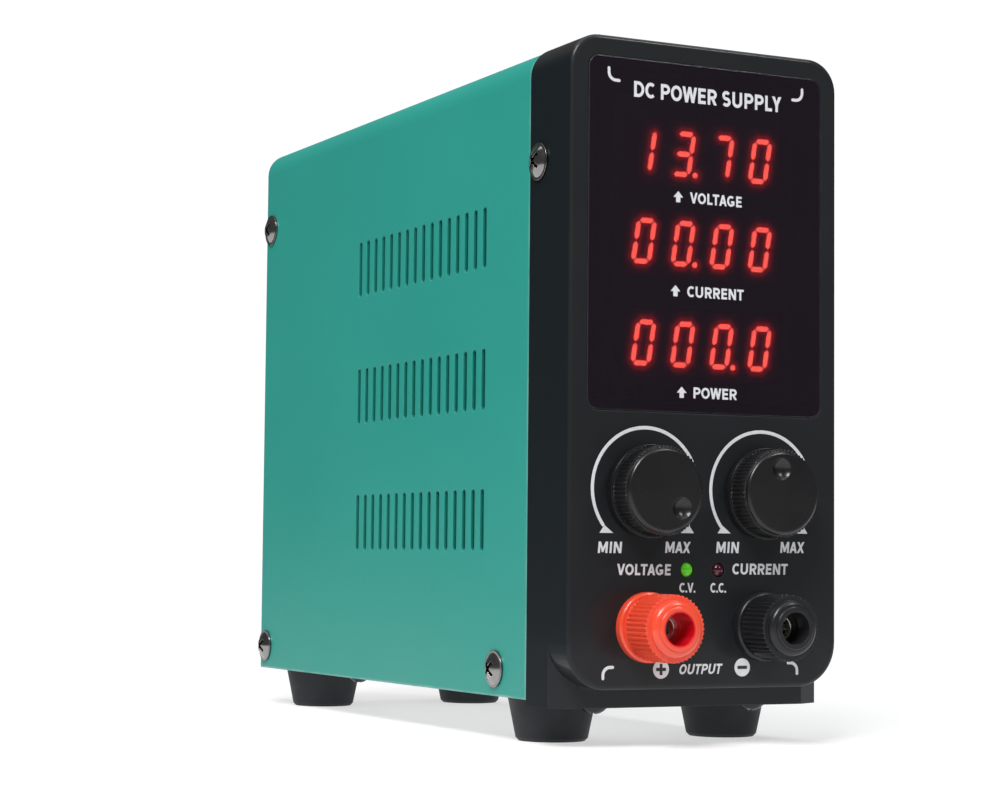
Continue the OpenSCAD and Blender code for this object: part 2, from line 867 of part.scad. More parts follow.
module power_transistors() {
    leg = 0.6;
    color([0.15, 0.15, 0.16]) mirrored() for (d = [70, 86]) {
        block([17.2, 22], [d - 7.5, d + 7.5], [board_top + 8, board_top + 29]);
        for (s = [-5.4, 0, 5.4])
            block([19, 19 + leg], [d + s - leg, d + s + leg], [board_top, board_top + 8]);
    }
}

// ---------- fan ----------

module fan_frame() {
    color([0.12, 0.12, 0.13]) translate([0, 0, fan_z]) difference() {
        union() {
            slab(fan_front_d, rear_d) difference() {
                rounded(fan_w, fan_w, 4);
                circle(fan_bore_r);
            }
            // Four struts carry the motor plate and its post
            for (a = [45 : 90 : 315]) rotate([0, a, 0])
                block([10, fan_bore_r + 0.5], [fan_front_d, fan_front_d + fan_strut_t], [-1.5, 1.5]);
            bar(fan_front_d, fan_front_d + fan_strut_t, fan_hub_r - 1);
            bar(fan_front_d, fan_front_d + 9, fan_post_r);
        }
        for (x = [-1, 1], z = [-1, 1])
            translate([x * fan_pitch, 0, z * fan_pitch]) bar(fan_front_d - cut, rear_d + cut, 1.9);
    }
}

module fan_rotor() {
    front = fan_front_d + 4;
    back = fan_front_d + 17.5;
    color([0.14, 0.14, 0.15]) translate([0, 0, fan_z]) {
        difference() {
            bar(front, back, fan_hub_r);
            bar(front - cut, back - 2, fan_hub_r - 1.5);
        }
        ring(front, back - 1, 4.5, fan_post_r + gap);
        for (i = [0 : blade_count - 1]) rotate([0, i * 360 / blade_count, 0]) intersection() {
            ring(front + 0.5, back - 0.5, fan_bore_r - 1, fan_hub_r - 0.4);
            at_depth((front + back) / 2 - 0.25) translate([0, 0, 20]) rotate([0, 0, blade_pitch])
                cube([30, 1.6, 18], center = true);
        }
    }
}

module fan_guard() {
    wire_r = 0.8;
    spoke_l = 65;
    color([0.8, 0.8, 0.82]) at_depth(body_d + wire_r) translate([0, 0, fan_z]) {
        for (r = [9, 16, 23])
            rotate([-90, 0, 0]) rotate_extrude() translate([r, 0]) circle(wire_r, $fn = 24);
        for (a = [45, 135]) rotate([0, a, 0]) translate([-spoke_l / 2, 0, 0]) rotate([0, 90, 0])
            cylinder(h = spoke_l, r = wire_r * 0.9, $fn = 24);
    }
    color([0.8, 0.8, 0.82]) translate([0, 0, fan_z]) for (x = [-1, 1], z = [-1, 1])
        translate([x * fan_pitch, 0, z * fan_pitch]) ring(body_d, body_d + 2 * wire_r, 4, 2.2);
}

module fan_screws() {
    color([0.8, 0.8, 0.82]) for (x = [-1, 1], z = [-1, 1])
        translate([x * fan_pitch, front_y + body_d + 1.6, fan_z + z * fan_pitch]) rotate([-90, 0, 0])
            screw(3.4, 1.3, 1.85, 12);
}

// ---------- mains side ----------

// The inlet's socket outline: a rectangle with two cut corners
module socket_outline(w, h, corner) {
    polygon([
        [-w / 2, h / 2], [w / 2, h / 2], [w / 2, -h / 2 + corner], [w / 2 - corner, -h / 2],
        [-w / 2 + corner, -h / 2], [-w / 2, -h / 2 + corner]
    ]);
}

module mains_inlet() {
    well = body_d - 16;
    color([0.1, 0.1, 0.1]) translate([0, 0, inlet_z]) difference() {
        union() {
            slab(body_d, body_d + inlet_flange) rounded(50, 23, 3);
            slab(body_d - 20, body_d + 0.1) square(inlet_body, center = true);
        }
        slab(well, body_d + inlet_flange + cut) socket_outline(24.2, 16, 4.5);
        for (x = [-pin_x, pin_x]) block([x - 1, x + 1], [well - 6, well + cut], [-3, 1]);
        block([-1, 1], [well - 6, well + cut], [2, 6]);
        for (x = [-inlet_screw_x, inlet_screw_x])
            translate([x, 0, 0]) bar(body_d - cut, body_d + inlet_flange + cut, small_r + 0.1);
    }
}

module inlet_pins() {
    tails = body_d - 28;
    color([0.83, 0.82, 0.78]) translate([0, 0, inlet_z]) {
        for (x = [-pin_x, pin_x]) block([x - 1, x + 1], [tails, body_d - 1], [-3, 1]);
        block([-1, 1], [tails, body_d + 0.5], [2, 6]);
    }
}

module rocker_frame() {
    bezel_t = 1.6;
    well = [11.8, 17.6];
    color([0.1, 0.1, 0.1]) translate([rocker_x, 0, rocker_z]) difference() {
        union() {
            slab(body_d, body_d + bezel_t) rounded(15.5, 21.5, 1.5);
            slab(body_d - 14, body_d + 0.1) square(rocker_body, center = true);
            for (x = [-4, 4]) block([x - 0.4, x + 0.4], [body_d - 22, body_d - 13.5], [-2.4, 2.4]);
        }
        slab(body_d - 7, body_d + bezel_t + cut) square(well, center = true);
        at_depth(rocker_axis) translate([-6.6, 0, 0]) rotate([0, 90, 0])
            cylinder(h = 13.2, r = trunnion_r + gap);
    }
}

// Shallow vee that tips about its trunnions
module power_rocker() {
    pad_w = 11.2;
    axle_l = 12.8;
    color([0.75, 0.08, 0.06]) at_depth(rocker_axis) translate([rocker_x, 0, rocker_z])
        rotate([rocker_tilt, 0, 0]) {
            rotate([90, 0, 90]) translate([0, 0, -pad_w / 2]) linear_extrude(pad_w) polygon([
                [3, -8], [2, 0], [3, 8], [-0.5, 8], [-3.2, 3], [-3.2, -3], [-0.5, -8]
            ]);
            translate([-axle_l / 2, 0, 0]) rotate([0, 90, 0]) cylinder(h = axle_l, r = trunnion_r);
        }
}

module selector_frame() {
    color([0.1, 0.1, 0.1]) translate([selector_x, 0, selector_z]) difference() {
        union() {
            slab(body_d, body_d + selector_flange) rounded(33, 12, 1);
            slab(body_d - 8, body_d + 0.1) square(selector_body, center = true);
        }
        slab(body_d - 5, body_d + selector_flange + cut) square([12.6, 6.2], center = true);
        for (x = [-selector_screw_x, selector_screw_x])
            translate([x, 0, 0]) bar(body_d - cut, body_d + selector_flange + cut, small_r + 0.1);
    }
}

// Rests at the higher mains range and slides to the lower one
module selector_slider() {
    rest_x = -2.6;
    color([0.7, 0.06, 0.05]) translate([selector_x + rest_x, 0, selector_z]) difference() {
        block([-3.6, 3.6], [body_d - 4.9, body_d + 0.4], [-3, 3]);
        block([-0.5, 0.5], [body_d - 0.8, body_d + 1], [-4, 4]);
    }
}

// Each wire as points given by x, depth and z
module internal_wiring() {
    lead_r = 1.2;
    mains_r = 1;
    pins = body_d - 29.2;
    tabs = body_d - 23.2;
    at_depth(0) {
        for (s = [-1, 1]) color(s < 0 ? "crimson" : [0.1, 0.1, 0.1])
            wire([
                [s * post_x, 9.6, 38.5], [s * post_x, 19, 38.5], [s * 14, 27, 36], [s * 13.3, 30.4, 22]
            ], lead_r);
        color("saddlebrown") {
            wire([
                [-pin_x, pins, inlet_z - 1], [-10, 180.5, 50], [-22, 180, 66], [-22, tabs, rocker_z]
            ], mains_r);
            wire([[-14, tabs, rocker_z], [-6, 180, 62], [-4, 180.5, 21.2]], mains_r);
        }
        color("steelblue")
            wire([[pin_x, pins, inlet_z - 1], [9, 179.5, 34], [9, 180.5, 21.2]], mains_r);
    }
}

front_bezel();
display_window();
cover();
chassis_tray();
front_frame();
rear_panel();
display_module(0);  // voltage_display
display_module(1);  // current_display
display_module(2);  // power_display
lit_segments();
control_board();
pot(-knob_x);  // voltage_pot
pot(knob_x);  // current_pot
pot_nuts();
knob_shaft(-knob_x, voltage_setting);  // voltage_shaft
knob_shaft(knob_x, current_setting);  // current_shaft
knob(-knob_x, voltage_setting);  // voltage_knob
knob(knob_x, current_setting);  // current_knob
led(-led_x, [0.3, 0.8, 0.2]);  // cv_led
led(led_x, [0.5, 0.05, 0.05]);  // cc_led
post_base(-post_x, [0.93, 0.28, 0.16]);  // positive_post_base
post_base(post_x, [0.1, 0.1, 0.11]);  // negative_post_base
post_stud(-post_x);  // positive_post_stud
post_stud(post_x);  // negative_post_stud
clamp_washer(-post_x, positive_gap);  // positive_clamp_washer
clamp_washer(post_x, 0);  // negative_clamp_washer
post_cap(-post_x, positive_gap, [0.93, 0.28, 0.16]);  // positive_post_cap
post_cap(post_x, 0, [0.1, 0.1, 0.11]);  // negative_post_cap
post_insulators();
post_nuts();
post_lugs();
foot(-foot_x, foot_front);  // foot_front_left
foot(foot_x, foot_front);  // foot_front_right
foot(-foot_x, foot_rear);  // foot_rear_left
foot(foot_x, foot_rear);  // foot_rear_right
foot_screws();
cover_screws();
small_screws();
main_board();
board_standoffs();
transformer_core();
transformer_winding();
input_capacitors();
output_capacitors();
input_choke();
output_choke();
heatsinks();
power_transistors();
fan_frame();
fan_rotor();
fan_guard();
fan_screws();
mains_inlet();
inlet_pins();
rocker_frame();
power_rocker();
selector_frame();
selector_slider();
internal_wiring();
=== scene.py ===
"""Looks for the bench power supply: materials, printed markings, display glow, floor, light, camera.

Everything is in metres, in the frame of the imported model. Sizes in millimetres are multiplied by MM.
"""

import math

import bmesh
import bpy
from mathutils import Matrix, Vector
from mathutils.bvhtree import BVHTree


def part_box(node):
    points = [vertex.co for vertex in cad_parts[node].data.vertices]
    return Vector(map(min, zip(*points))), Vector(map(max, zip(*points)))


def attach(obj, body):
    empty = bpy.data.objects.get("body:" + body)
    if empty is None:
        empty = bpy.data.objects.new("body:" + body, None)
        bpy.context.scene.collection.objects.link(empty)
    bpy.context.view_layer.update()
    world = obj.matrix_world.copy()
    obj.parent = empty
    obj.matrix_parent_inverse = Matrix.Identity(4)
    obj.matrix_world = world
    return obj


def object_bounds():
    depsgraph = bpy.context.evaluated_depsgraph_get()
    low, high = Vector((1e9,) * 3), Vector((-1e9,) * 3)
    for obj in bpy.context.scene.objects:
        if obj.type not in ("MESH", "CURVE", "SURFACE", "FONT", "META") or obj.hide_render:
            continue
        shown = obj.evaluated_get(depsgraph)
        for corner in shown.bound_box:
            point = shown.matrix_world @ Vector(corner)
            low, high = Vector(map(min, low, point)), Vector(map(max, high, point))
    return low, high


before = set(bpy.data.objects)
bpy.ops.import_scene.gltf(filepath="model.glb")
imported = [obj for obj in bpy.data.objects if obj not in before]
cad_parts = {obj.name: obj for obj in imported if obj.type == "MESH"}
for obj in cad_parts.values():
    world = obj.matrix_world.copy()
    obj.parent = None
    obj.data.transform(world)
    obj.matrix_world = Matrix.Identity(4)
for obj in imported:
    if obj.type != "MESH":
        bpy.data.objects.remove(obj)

MM = 0.001
cad_low, cad_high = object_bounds()


# ---------- places, all read from the frame ----------


def middle(node):
    low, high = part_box(node)
    return (low + high) / 2


face_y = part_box("front_bezel")[0].y
KNOBS = {"voltage": middle("voltage_knob"), "current": middle("current_knob")}
LAMPS = {"C.V.": middle("cv_led"), "C.C.": middle("cc_led")}
window_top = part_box("display_window")[1].z
lamp_mid = (LAMPS["C.V."].x + LAMPS["C.C."].x) / 2


# ---------- node graphs ----------


class Graph:
    """A material's node tree, with short ways to add and join nodes."""

    def __init__(self, name):
        self.material = bpy.data.materials.new(name)
        self.material.use_nodes = True
        self.tree = self.material.node_tree
        self.shader = self.tree.nodes["Principled BSDF"]
        self.output = self.tree.nodes["Material Output"]
        self.place = self.add("ShaderNodeTexCoord").outputs["Object"]

    def add(self, kind, links=(), **settings):
        node = self.tree.nodes.new(kind)
        for key, value in settings.items():
            setattr(node, key, value)
        for socket, source in dict(links).items():
            self.set(node, socket, source)
        return node

    def set(self, node, socket, value):
        if isinstance(value, bpy.types.NodeSocket):
            self.tree.links.new(value, node.inputs[socket])
        else:
            node.inputs[socket].default_value = value

    def stretched(self, stretch):
        return self.add(
            "ShaderNodeMapping", {"Vector": self.place, "Scale": stretch}
        ).outputs[0]

    def noise(self, size, detail=2.0, stretch=None, seed=0.0):
        """Noise with lumps about size millimetres across."""
        return self.add(
            "ShaderNodeTexNoise",
            {
                "Vector": self.stretched(stretch) if stretch else self.place,
                "W": seed,
                "Scale": 1 / (size * MM),
                "Detail": detail,
            },
            noise_dimensions="4D",
        ).outputs[0]

    def cells(self, size):
        """How far a point is from the middle of its cell, with cells about size millimetres across."""
        return self.add(
            "ShaderNodeTexVoronoi", {"Vector": self.place, "Scale": 1 / (size * MM)}
        ).outputs["Distance"]

    def span(self, value, low, high, to_low=0.0, to_high=1.0):
        return self.add(
            "ShaderNodeMapRange",
            {0: value, 1: low, 2: high, 3: to_low, 4: to_high},
        ).outputs[0]

    def sum(self, operation, a, b=0.0):
        """One step of arithmetic."""
        return self.add("ShaderNodeMath", {0: a, 1: b}, operation=operation).outputs[0]

    def parts(self, vector):
        """The three numbers of a vector."""
        return self.add("ShaderNodeSeparateXYZ", {0: vector}).outputs

    def mix(self, factor, a, b):
        return self.add(
            "ShaderNodeMix", {0: factor, 6: tone(a), 7: tone(b)}, data_type="RGBA"
        ).outputs[2]

    def bump(self, height, depth, normal=None):
        """Relief as deep as depth millimetres."""
        links = {"Height": height, "Distance": depth * MM, "Strength": 1.0}
        if normal is not None:
            links["Normal"] = normal
        return self.add("ShaderNodeBump", links).outputs[0]

    def base_colour(self):
        """The socket that now gives the shader its colour."""
        return self.shader.inputs["Base Color"].links[0].from_socket

    def soft_edges(self, radius):
        """(normal that rounds edges over radius millimetres, how near an edge a point is)."""
        rounded = self.add("ShaderNodeBevel", {"Radius": radius * MM}, samples=6).outputs[0]
        flat = self.add("ShaderNodeNewGeometry").outputs["Normal"]
        dot = self.add("ShaderNodeVectorMath", {0: rounded, 1: flat}, operation="DOT_PRODUCT")
        return rounded, self.span(dot.outputs["Value"], 0.985, 0.80)


def tone(colour):
    """A colour as four numbers, or a socket as it is."""
    return (*colour, 1.0) if isinstance(colour, tuple) and len(colour) == 3 else colour


def scaled(colour, factor):
    return tuple(min(1.0, c * factor) for c in colour)


def surface(
    name,
    colour,
    roughness,
    patch=0.10,
    patch_size=14,
    grain=0.012,
    grain_size=0.35,
    edge=0.35,
    worn=1.5,
    wander=0.08,
    stretch=None,
    **sockets,
):
    """A finish with uneven tone and gloss, fine relief, and softened edges that are lighter, partly from
    wear and partly as a painted highlight.

    Sizes are in millimetres: patch_size for the tone, grain_size across and grain deep for the relief,
    and edge for the rounding. patch and wander say how far tone and roughness stray, and
    worn how much lighter an edge is, from wear and a painted highlight.
    """
    g = Graph(name)
    drift = g.noise(patch_size, 4)
    speck = g.noise(grain_size * 2, 2, stretch, seed=3)
    rounded, near_edge = g.soft_edges(edge)
    body = g.mix(drift, scaled(colour, 1 - patch), scaled(colour, 1 + patch))
    body = g.mix(g.span(speck, 0.35, 0.75, 0, 0.35), body, scaled(colour, 1 - 2 * patch))
    rub_and_glint = g.sum("MULTIPLY", near_edge, g.span(g.noise(3, 3, seed=8), 0.35, 0.6, 0.35, 1))
    # Edges are mixed towards a lighter colour: partly wear, partly a painted highlight along the edge.
    g.set(g.shader, "Base Color", g.mix(g.sum("MULTIPLY", rub_and_glint, 0.6), body, scaled(colour, worn)))
    gloss = g.sum("ADD", g.span(drift, 0.3, 0.7, -wander, wander), roughness)
    g.set(g.shader, "Roughness", gloss)
    relief = g.noise(grain_size, 3, stretch)
    g.set(g.shader, "Normal", g.bump(relief, grain, rounded))
    for socket, value in sockets.items():
        g.set(g.shader, socket.replace("_", " "), value)
    return g


# ---------- materials ----------


def cover_paint():
    """Satin powder coat, with painted shade on the walls of the punched slots, and lighter along the sheet's
    front and bottom edges: partly thin paint on the cut edge, partly a painted highlight.
    """
    g = surface(
        "cover_paint", (0.022, 0.325, 0.268), 0.40, patch=0.05, patch_size=60, grain=0.010,
        grain_size=0.45, edge=0.75, worn=1.7, wander=0.05, Specular_IOR_Level=0.40,
    )
    low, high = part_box("cover")
    facing = g.parts(g.add("ShaderNodeNewGeometry").outputs["True Normal"])
    across, along, up = g.parts(g.place)
    slots_mid, slots_reach = -7 * MM, 62 * MM
    off_mid = g.sum("ABSOLUTE", g.sum("SUBTRACT", along, slots_mid))
    wall = g.sum("MULTIPLY", g.sum("ABSOLUTE", facing[1]), g.sum("LESS_THAN", off_mid, slots_reach))
    painted = g.base_colour()
    # Painted shade: the walls of the slots are darkened to a deep green.
    slot_wall_shade = g.mix(g.span(wall, 0.4, 0.8, 0, 0.9), painted, (0.003, 0.160, 0.125))
    # A lighter band along the front and bottom edges: partly thin paint on the cut edge, partly a painted
    # highlight.
    front_edge = g.span(along, low.y + 1.4 * MM, low.y + 0.3 * MM)
    bottom_edge = g.span(up, low.z + 0.7 * MM, low.z + 0.3 * MM)
    thin_paint_and_glint = g.sum("MAXIMUM", front_edge, bottom_edge)
    patchy = g.sum("MULTIPLY", thin_paint_and_glint, g.span(g.noise(9, 3, seed=5), 0.35, 0.65, 0.10, 0.55))
    g.set(g.shader, "Base Color", g.mix(patchy, slot_wall_shade, (0.42, 0.62, 0.58)))
    return g.material


def bezel_abs():
    """Black ABS with a fine spark texture. The side walls shine a little less than the face, and carry
    painted shade: a darker, bluer colour.
    """
    # The edges here are lightened strongly: partly wear, mostly a painted highlight that draws light lines
    # along the bezel's edges.
    g = surface(
        "bezel_abs", (0.0100, 0.0118, 0.0138), 0.50, patch=0.10, patch_size=30, grain=0.012,
        grain_size=0.30, edge=0.45, worn=7.0, wander=0.05, Coat_Roughness=0.10,
    )
    side = g.sum("ABSOLUTE", g.parts(g.add("ShaderNodeNewGeometry").outputs["True Normal"])[0])
    shaded_side = g.span(side, 0.90, 0.99)
    moulded = g.base_colour()
    # Painted shade: the side walls get a darker, bluer colour than the face.
    g.set(g.shader, "Base Color", g.mix(shaded_side, moulded, (0.0090, 0.0128, 0.0155)))
    g.set(g.shader, "Specular IOR Level", g.span(shaded_side, 0, 1, 0.20, 0.04))
    g.set(g.shader, "Coat Weight", g.span(shaded_side, 0, 1, 0.25, 0.06))
    return g.material


def smoked_acrylic():
    """Dark acrylic: part of the light goes through, tinted, and the rest meets a glossy dark surface. Its
    edges have a painted highlight, a lighter colour along them.
    """
    g = Graph("smoked_acrylic")
    rounded, near_edge = g.soft_edges(0.6)
    smear = g.noise(22, 4)
    body = g.mix(smear, (0.0200, 0.0130, 0.0220), (0.0260, 0.0180, 0.0280))
    # Painted highlight: a lighter colour along the window's edges.
    g.set(g.shader, "Base Color", g.mix(near_edge, body, (0.150, 0.130, 0.150)))
    g.set(g.shader, "Roughness", g.span(smear, 0.3, 0.7, 0.12, 0.20))
    g.set(g.shader, "Normal", g.bump(g.noise(9, 2), 0.004, rounded))
    clear = g.add("ShaderNodeBsdfTransparent", {"Color": (0.42, 0.26, 0.30, 1)})
    both = g.add(
        "ShaderNodeMixShader",
        {0: 0.55, 1: g.shader.outputs[0], 2: clear.outputs[0]},
    )
    g.set(g.output, "Surface", both.outputs[0])
    return g.material


def segment_red():
    g = Graph("segment_red")
    hot = g.mix(g.noise(1.1, 2), (1.0, 0.29, 0.150), (1.0, 0.47, 0.255))
    g.set(g.shader, "Base Color", (0.5, 0.04, 0.03, 1))
    g.set(g.shader, "Roughness", g.span(g.noise(0.8), 0.3, 0.7, 0.3, 0.5))
    g.set(g.shader, "Emission Color", hot)
    g.set(g.shader, "Emission Strength", 19.0)
    return g.material


def painted_glow_film():
    """Painted light: a clear red film that glows where the piece's own glow attribute says, as the halo
    round the lit segments.
    """
    g = Graph("painted_glow_film")
    glow = g.add("ShaderNodeAttribute", attribute_name="glow").outputs["Fac"]
    light = g.add(
        "ShaderNodeEmission",
        {
            "Color": g.mix(glow, (1.0, 0.010, 0.020), (1.0, 0.03, 0.02)),
            "Strength": g.sum("MULTIPLY", glow, 2.9),
        },
    )
    clear = g.add("ShaderNodeBsdfTransparent", {"Color": (0.9, 0.72, 0.74, 1)})
    both = g.add("ShaderNodeAddShader", {0: light.outputs[0], 1: clear.outputs[0]})
    g.set(g.output, "Surface", both.outputs[0])
    return g.material


def lens(name, centre, core, rim, strength):
    """An indicator's epoxy lens, brightest round its own chip, with uneven sparkle from the die cup."""
    g = Graph(name)
    apart = g.add("ShaderNodeVectorMath", {0: g.place, 1: centre}, operation="DISTANCE")
    near_chip = g.span(apart.outputs["Value"], 1.9 * MM, 0.5 * MM)
    mottled = g.sum("MULTIPLY", near_chip, g.span(g.noise(0.6, 3), 0.38, 0.62, 0.45, 1.15))
    g.set(g.shader, "Base Color", g.mix(mottled, rim, core))
    g.set(g.shader, "Emission Color", g.mix(mottled, rim, core))
    g.set(g.shader, "Emission Strength", strength)
    g.set(g.shader, "Roughness", g.span(g.noise(1.2), 0.3, 0.7, 0.05, 0.12))
    g.set(g.shader, "Coat Weight", 0.35)
    return g.material


def ink(name, colour):
    g = Graph(name)
    thin = g.noise(0.5, 3)
    g.set(g.shader, "Base Color", g.mix(g.span(thin, 0.3, 0.7), scaled(colour, 0.86), colour))
    g.set(g.shader, "Roughness", g.span(thin, 0.3, 0.7, 0.45, 0.6))
    g.set(g.shader, "Normal", g.bump(thin, 0.004))
    return g.material


def brushed(name, colour, roughness, along):
    """Bare or plated metal with fine scratches along one direction."""
    stretch = tuple(0.04 if axis == along else 1.0 for axis in "xyz")
    return surface(
        name, colour, roughness, patch=0.06, patch_size=10, grain=0.004, grain_size=0.16,
        edge=0.2, worn=1.25, wander=0.06, stretch=stretch, Metallic=1.0,
    ).material


def screw_head_metal():
    """Dull nickel on the cover screws, with painted shade: black down in the cross recess."""
    g = surface(
        "screw_steel", (0.33, 0.32, 0.315), 0.20, patch=0.06, patch_size=10, grain=0.004, grain_size=0.16,
        edge=0.2, worn=1.5, wander=0.06, stretch=(1.0, 1.0, 0.04), Metallic=1.0,
    )
    open_sky = g.add("ShaderNodeAmbientOcclusion", {"Distance": 1.2 * MM}, samples=8).outputs["AO"]
    plated = g.base_colour()
    # Painted shade: ambient occlusion darkens the cross recess to black.
    g.set(g.shader, "Base Color", g.mix(g.span(open_sky, 0.35, 0.85), (0.006, 0.006, 0.007), plated))
    return g.material


def zinc_sheet():
    """Galvanised steel: large faint crystals under a dull skin."""
    g = Graph("galvanised_sheet")
    rounded, near_edge = g.soft_edges(0.25)
    crystal = g.cells(5)
    body = g.mix(g.span(crystal, 0.0, 0.6), (0.46, 0.47, 0.48), (0.62, 0.63, 0.64))
    # The edges are lighter, partly wear and partly a painted highlight.
    g.set(g.shader, "Base Color", g.mix(near_edge, body, (0.75, 0.75, 0.76)))
    g.set(g.shader, "Metallic", 1.0)
    g.set(g.shader, "Roughness", g.span(crystal, 0.0, 0.6, 0.30, 0.46))
    g.set(g.shader, "Normal", g.bump(g.noise(0.8, 3), 0.006, rounded))
    return g.material


def board_green():
    """Solder mask over copper tracks that run along both sides of the board, with bare round pads."""
    g = Graph("board_green")
    grid = g.add(
        "ShaderNodeTexBrick",
        {
            "Vector": g.place, "Color1": (0, 0, 0, 1), "Color2": (0.4, 0.4, 0.4, 1),
            "Mortar": (1, 1, 1, 1), "Scale": 140.0, "Mortar Size": 0.07,
        },
    ).outputs[0]
    body = g.mix(grid, (0.010, 0.085, 0.035), (0.030, 0.170, 0.070))
    pads = g.span(g.cells(2.54), 0.20, 0.16)
    g.set(g.shader, "Base Color", g.mix(pads, body, (0.55, 0.52, 0.45)))
    g.set(g.shader, "Metallic", g.sum("MULTIPLY", pads, 0.9))
    g.set(g.shader, "Roughness", g.span(g.noise(6), 0.3, 0.7, 0.24, 0.36))
    g.set(g.shader, "Normal", g.bump(g.sum("ADD", grid, pads), 0.03))
    return g.material


def wound(name, colour, pitch, roughness, centre, metallic=0.0):
    """Turns of wire side by side round a ring: ridges that go round its centre."""
    g = Graph(name)
    arm = g.add("ShaderNodeVectorMath", {0: g.place, 1: centre}, operation="SUBTRACT").outputs[0]
    parts = g.parts(arm)
    turn = g.add("ShaderNodeMath", {0: parts[1], 1: parts[0]}, operation="ARCTAN2").outputs[0]
    ridge = g.add("ShaderNodeMath", {0: g.sum("MULTIPLY", turn, pitch)}, operation="SINE").outputs[0]
    # Painted shade: the grooves between turns are painted darker.
    g.set(g.shader, "Base Color", g.mix(g.span(ridge, -1, 1), scaled(colour, 0.35), colour))
    g.set(g.shader, "Roughness", g.span(g.noise(2), 0.3, 0.7, roughness, roughness + 0.12))
    g.set(g.shader, "Metallic", metallic)
    g.set(g.shader, "Normal", g.bump(ridge, 0.35))
    return g.material


def banded_wire():
    """Insulated wires, each with its own colour from where it runs."""
    g = Graph("wire_pvc")
    parts = g.parts(g.place)
    at_back = g.span(parts[1], 60 * MM, 62 * MM)
    at_right = g.span(parts[0], -1 * MM, 1 * MM)
    front = g.mix(at_right, (0.45, 0.02, 0.015), (0.012, 0.012, 0.013))
    rear = g.mix(at_right, (0.13, 0.05, 0.02), (0.03, 0.10, 0.32))
    shade = g.mix(at_back, front, rear)
    g.set(g.shader, "Base Color", g.mix(g.span(g.noise(4), 0.3, 0.8, 0, 0.3), shade, (0.2, 0.2, 0.2)))
    g.set(g.shader, "Roughness", g.span(g.noise(3), 0.3, 0.7, 0.3, 0.42))
    g.set(g.shader, "Normal", g.bump(g.noise(1.5, 3), 0.02))
    return g.material


def can_sleeve():
    """Printed capacitor sleeve with a paler stripe up one side and a bare top."""
    g = Graph("can_sleeve")
    up = g.parts(g.add("ShaderNodeNewGeometry").outputs["Normal"])
    stripe = g.span(up[1], -0.86, -0.90)
    body = g.mix(stripe, (0.010, 0.018, 0.060), (0.50, 0.52, 0.56))
    top = g.span(up[2], 0.80, 0.92)
    g.set(g.shader, "Base Color", g.mix(top, body, (0.62, 0.63, 0.64)))
    g.set(g.shader, "Metallic", top)
    g.set(g.shader, "Roughness", g.span(g.noise(3), 0.3, 0.7, 0.22, 0.36))
    g.set(g.shader, "Normal", g.bump(g.noise(2.5, 2), 0.01))
    return g.material


def plastic(name, colour, roughness, **extra):
    settings = dict(
        patch=0.07, patch_size=18, grain=0.006, grain_size=0.30, edge=0.22, worn=1.35, wander=0.05
    )
    settings.update(extra)
    return surface(name, colour, roughness, **settings).material


def terminal_red():
    """Bright red moulding. No light gets out of the socket's bore, so it looks deep red."""
    g = surface(
        "terminal_red", (0.84, 0.080, 0.036), 0.24, patch=0.04, patch_size=18, grain=0.006,
        edge=0.30, worn=1.15, wander=0.04, Coat_Weight=0.3,
        Subsurface_Weight=0.15, Subsurface_Radius=(1.2 * MM, 0.3 * MM, 0.15 * MM),
    )
    axis = middle("positive_post_cap")
    arm = g.parts(g.add("ShaderNodeVectorMath", {0: g.place, 1: axis}, operation="SUBTRACT").outputs[0])
    out = g.add("ShaderNodeCombineXYZ", {0: arm[0], 1: arm[2]}).outputs[0]
    reach = g.add("ShaderNodeVectorMath", {0: out}, operation="LENGTH").outputs["Value"]
    in_bore = g.span(reach, 4.7 * MM, 4.3 * MM)
    moulded = g.base_colour()
    g.set(g.shader, "Base Color", g.mix(in_bore, moulded, (0.62, 0.002, 0.012)))
    return g.material


